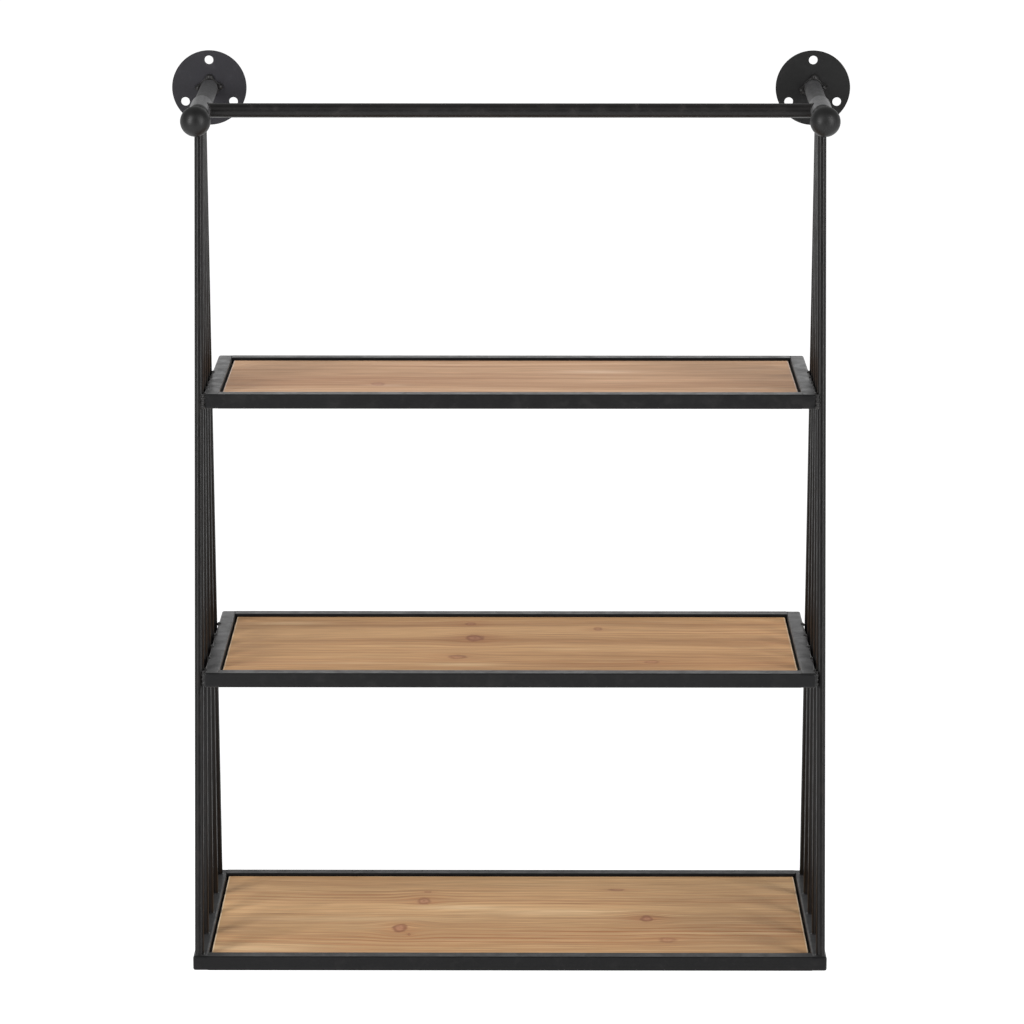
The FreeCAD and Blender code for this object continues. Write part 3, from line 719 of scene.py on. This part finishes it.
# Welds
ROD_RADIUS = 0.00395
ROD_FOOT_BAND = 0.0004
ROD_TOP_BAND = 0.0015
RING_STEPS = 60
STUB_BEAD = 0.0007
STUB_LUMP = 0.0025
STUB_LUMP_OUT = 0.0014
STUB_AHEAD = 0.0014
STUB_LUMP_WIDTH = 0.30
STUB_LUMP_ANGLES = {"left": (10, 88, 178), "right": (5, 82, 192)}
CROSS_BEAD = 0.0008
FILLET_STEPS = 6
FOOT_LEG = 0.0012
FOOT_HEIGHT = 0.0014
FOOT_CLIMB = 0.0045
FOOT_DROP = 0.0012
FOOT_TUCK = 0.0003
FOOT_SUNK = 3 * FOOT_TUCK
SPOT_STEPS = 7
SPOT_LENGTH = 0.0075
SPOT_WIDEST = 0.0019
SPOT_ENDS = 0.0005
SPOT_INSET = 0.0009
CORNER_STEPS = 33
CORNER_RADIUS = 0.0019
CORNER_LUMP = 0.22
CORNER_LUMPS = 3.5
CORNER_TUCK = 0.0006
CORNER_AHEAD = 0.0030
SEAM_RADIUS = 0.0013
SEAM_DEPTH = 0.0015
SEAM_SHORT = 2 * SEAM_RADIUS
SEAM_STEPS = 8


def weld_stub(side):
    """Tacks round a stub's root on its flange."""
    weld_name = f"{side}_stub_weld"
    low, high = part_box(weld_name)
    centre = Vector(((low.x + high.x) / 2, high.y - STUB_AHEAD, (low.z + high.z) / 2))
    radius = half_size(f"{side}_stub").x + STUB_BEAD / 2
    path = []
    radii = []
    for angle in angles_round(RING_STEPS):
        swelling = 0.0
        for lump in STUB_LUMP_ANGLES[side]:
            gap = math.remainder(angle - math.radians(lump), math.tau)
            swelling += math.exp(-(gap / STUB_LUMP_WIDTH) ** 2)
        outwards = Vector((math.cos(angle), 0, math.sin(angle)))
        path.append(centre + outwards * (radius + STUB_LUMP_OUT * swelling))
        radii.append(STUB_BEAD + STUB_LUMP * swelling)
    weld(f"{side}_stub_tacks", "wall_brackets", [bead(path, radii, closed=True)], weld_name)


def weld_cross_rod(side, sign):
    """A thin bead in the cope between the cross rod and a sleeve."""
    sleeve = half_size(f"{side}_sleeve").x
    post_x = middle_of(f"{side}_sleeve").x
    centre = middle_of("cross_rod")
    rod = half_size("cross_rod").y
    path = []
    for angle in angles_round(RING_STEPS):
        rise = rod * math.sin(angle)
        reach = math.sqrt(sleeve ** 2 - rise ** 2)
        path.append(Vector((post_x - sign * reach, centre.y + rod * math.cos(angle), centre.z + rise)))
    radii = [CROSS_BEAD] * RING_STEPS
    weld(f"{side}_cross_bead", "frame", [bead(path, radii, closed=True)], f"{side}_cross_weld")


def weld_feet(side, sign, lines):
    """A hollow fillet round each rod's foot, tallest on its outer side, over the rail's edge."""
    fillets = []
    for foot, top in lines:
        lean = (top - foot) / (top.z - foot.z)
        rings = []
        for angle in angles_round(RING_STEPS):
            outwards = Vector((math.cos(angle), math.sin(angle), 0))
            outer = max(0, sign * outwards.x) ** 2
            drop = FOOT_DROP * outer
            height = FOOT_HEIGHT + FOOT_CLIMB * outer + drop
            ring = [foot + outwards * (ROD_RADIUS - FOOT_SUNK) - UP * (drop + FOOT_TUCK)]
            for part in range(FILLET_STEPS + 1):
                turn = math.pi / 2 * part / FILLET_STEPS
                reach = ROD_RADIUS - FOOT_TUCK + (FOOT_LEG + FOOT_TUCK) * (1 - math.sin(turn))
                ring.append(foot + outwards * reach + lean * (height * (1 - math.cos(turn)) - drop))
            rings.append(ring)
        fillets.append((rings, True))
    weld(f"{side}_foot_fillets", "frame", fillets, f"{side}_foot_welds")


def weld_rods_to_shelf(shelf, side, sign, lines):
    """Spots on the side rail's top edge beside each rod, and an upright lumpy bead at the front one."""
    low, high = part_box(f"{shelf}_{side}_rail")
    face = high.x if sign > 0 else low.x
    beads = []
    for line in lines:
        spot = on_rod(line, high.z)
        x = face - sign * SPOT_INSET
        path = [Vector((x, spot.y + SPOT_LENGTH * (step / (SPOT_STEPS - 1) - 0.5), high.z - SPOT_ENDS))
                for step in range(SPOT_STEPS)]
        beads.append(bead(path, swell(SPOT_STEPS, SPOT_WIDEST, SPOT_ENDS)))
    path = []
    radii = []
    for step in range(CORNER_STEPS):
        share = step / (CORNER_STEPS - 1)
        z = high.z + (low.z - high.z) * share
        path.append(Vector((face + sign * CORNER_TUCK, on_rod(lines[0], z).y - CORNER_AHEAD, z)))
        radii.append(CORNER_RADIUS * (1 + CORNER_LUMP * math.cos(math.tau * CORNER_LUMPS * share)))
    beads.append(bead(path, radii))
    weld(f"{shelf}_{side}_rod_beads", "frame", beads, f"{shelf}_{side}_rod_welds")


def fill_corner_seams(shelf):
    """Weld ground nearly flush in the seams where the front and back rails meet the side rails."""
    beads = []
    for end in ("front", "back"):
        low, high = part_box(f"{shelf}_{end}_rail")
        for sign in SIDES.values():
            for z in (high.z - SEAM_DEPTH, low.z + SEAM_DEPTH):
                start = Vector((sign * high.x, low.y + SEAM_SHORT, z))
                stop = Vector((sign * high.x, high.y - SEAM_SHORT, z))
                path = [start.lerp(stop, step / SEAM_STEPS) for step in range(SEAM_STEPS + 1)]
                beads.append(bead(path, [SEAM_RADIUS] * len(path)))
    weld(f"{shelf}_corner_seams", "frame", beads)


def make_welds():
    """All the weld beads of the object."""
    for side, sign in SIDES.items():
        lines = [rod_line(f"{side}_rod_{number}") for number in range(1, ROD_COUNT + 1)]
        weld_stub(side)
        weld_cross_rod(side, sign)
        weld_feet(side, sign, lines)
        for shelf in WELDED_SHELVES:
            weld_rods_to_shelf(shelf, side, sign, lines)
    for shelf in SHELVES:
        fill_corner_seams(shelf)


def seen_directly(wire, strength):
    """A strength that holds for what the camera sees, straight or in a shiny or clear surface."""
    path = wire.tree.nodes.new("ShaderNodeLightPath")
    result = path.outputs["Is Camera Ray"]
    for name in ("Is Glossy Ray", "Is Transmission Ray"):
        result = wire.math("MAXIMUM", result, path.outputs[name])
    return wire.math("MULTIPLY", result, strength)


def floor_white():
    """Matt white that glows a little where it is seen."""
    material = bpy.data.materials.new("floor_white")
    material.use_nodes = True
    wire = Wiring(material.node_tree)
    matt = wire.tree.nodes.new("ShaderNodeBsdfDiffuse")
    wire.feed(matt.inputs["Color"], FLOOR_COLOUR)
    glow = wire.tree.nodes.new("ShaderNodeEmission")
    wire.feed(glow.inputs["Color"], WHITE)
    wire.feed(glow.inputs["Strength"], seen_directly(wire, FLOOR_LIFT))
    both = wire.tree.nodes.new("ShaderNodeAddShader")
    wire.feed(both.inputs[0], matt.outputs[0])
    wire.feed(both.inputs[1], glow.outputs[0])
    output = wire.tree.nodes.new("ShaderNodeOutputMaterial")
    wire.feed(output.inputs["Surface"], both.outputs[0])
    return material


def make_floor():
    """A plain white floor well below the hung object; it keeps the object's shadow."""
    half = FLOOR_SIZE / 2
    level = cad_box[0][2] - FLOOR_DROP
    corners = [(-half, -half, level), (half, -half, level), (half, half, level), (-half, half, level)]
    mesh = bpy.data.meshes.new("floor")
    mesh.from_pydata(corners, [], [(0, 1, 2, 3)])
    floor = bpy.data.objects.new("floor", mesh)
    bpy.context.scene.collection.objects.link(floor)
    mesh.materials.append(floor_white())


# How white the surroundings are in reflections, and the directions along Y and Z between which that changes
ROOM_SHARE = 0.30
HIGH_SHARE = 0.48
FRONT_SHARE = 0.85
BEHIND_EDGES = (-0.5, 0.3)
LOW_EDGES = (0.20, 0.32)
FRONT_EDGES = (-0.70, -0.30)
HIGH_EDGES = (0.22, 0.42)


def backdrop_share(wire):
    """How white the surroundings are: white where seen straight, and in reflections white low down behind
    the object, fairly white high up in front of it and less elsewhere."""
    direction = wire.tree.nodes.new("ShaderNodeTexCoord").outputs["Generated"]
    _, y, z = wire.split(direction)
    behind = wire.between(y, *BEHIND_EDGES, ROOM_SHARE, 1.0)
    low_down = wire.between(z, *LOW_EDGES, 1.0, HIGH_SHARE)
    in_front = wire.between(y, *FRONT_EDGES, FRONT_SHARE, 0.0)
    high_up = wire.between(z, *HIGH_EDGES, 0.0, 1.0)
    walls = wire.math("MULTIPLY", behind, low_down)
    ceiling = wire.math("MULTIPLY", in_front, high_up)
    straight = wire.tree.nodes.new("ShaderNodeLightPath").outputs["Is Camera Ray"]
    return wire.math("MAXIMUM", straight, wire.math("MAXIMUM", walls, ceiling))


def make_world():
    """A white backdrop where it is seen, and a softer light on the object."""
    world = bpy.data.worlds.new("studio")
    bpy.context.scene.world = world
    world.use_nodes = True
    wire = Wiring(world.node_tree)
    strength = wire.tree.nodes.new("ShaderNodeMix")
    wire.feed(strength.inputs[0], seen_directly(wire, 1.0))
    for socket, value in zip(MIX_NUMBERS, (WORLD_LIGHT, backdrop_share(wire))):
        wire.feed(strength.inputs[socket], value)
    background = wire.tree.nodes.new("ShaderNodeBackground")
    wire.feed(background.inputs["Color"], WHITE)
    wire.feed(background.inputs["Strength"], strength.outputs[0])
    output = wire.tree.nodes.new("ShaderNodeOutputWorld")
    wire.feed(output.inputs["Surface"], background.outputs[0])


# Soft lamps: the place, the width and height in metres, and the power in watts
LAMP_TARGET = Vector((0, -0.15, -0.45))
LAMPS = {
    "soft_left": ((-2.15, -2.50, 0.80), (1.0, 2.8), 104.0),
    "soft_right": ((2.40, -2.25, 0.72), (1.0, 2.8), 96.0),
}


def make_lamps():
    """Two large soft boxes in front of the object, one on each side."""
    for name, (place, size, power) in LAMPS.items():
        light = bpy.data.lights.new(name, "AREA")
        light.shape = "RECTANGLE"
        light.size, light.size_y = size
        light.energy = power
        lamp = bpy.data.objects.new(name, light)
        lamp.location = place
        lamp.rotation_euler = (LAMP_TARGET - Vector(place)).to_track_quat("-Z", "Y").to_euler()
        bpy.context.scene.collection.objects.link(lamp)


def make_camera():
    """The photograph's viewpoint."""
    data = bpy.data.cameras.new("camera")
    data.lens = CAMERA_LENS
    data.sensor_width = SENSOR_WIDTH
    data.clip_end = CAMERA_REACH
    camera = bpy.data.objects.new("camera", data)
    camera.location = CAMERA_PLACE
    camera.rotation_euler = (math.radians(CAMERA_LEVEL - CAMERA_PITCH), 0, math.radians(CAMERA_TURN))
    bpy.context.scene.collection.objects.link(camera)
    bpy.context.scene.camera = camera


paint_solids()
make_welds()
make_floor()
make_world()
make_lamps()
make_camera()
bpy.context.scene.view_settings.view_transform = "Standard"
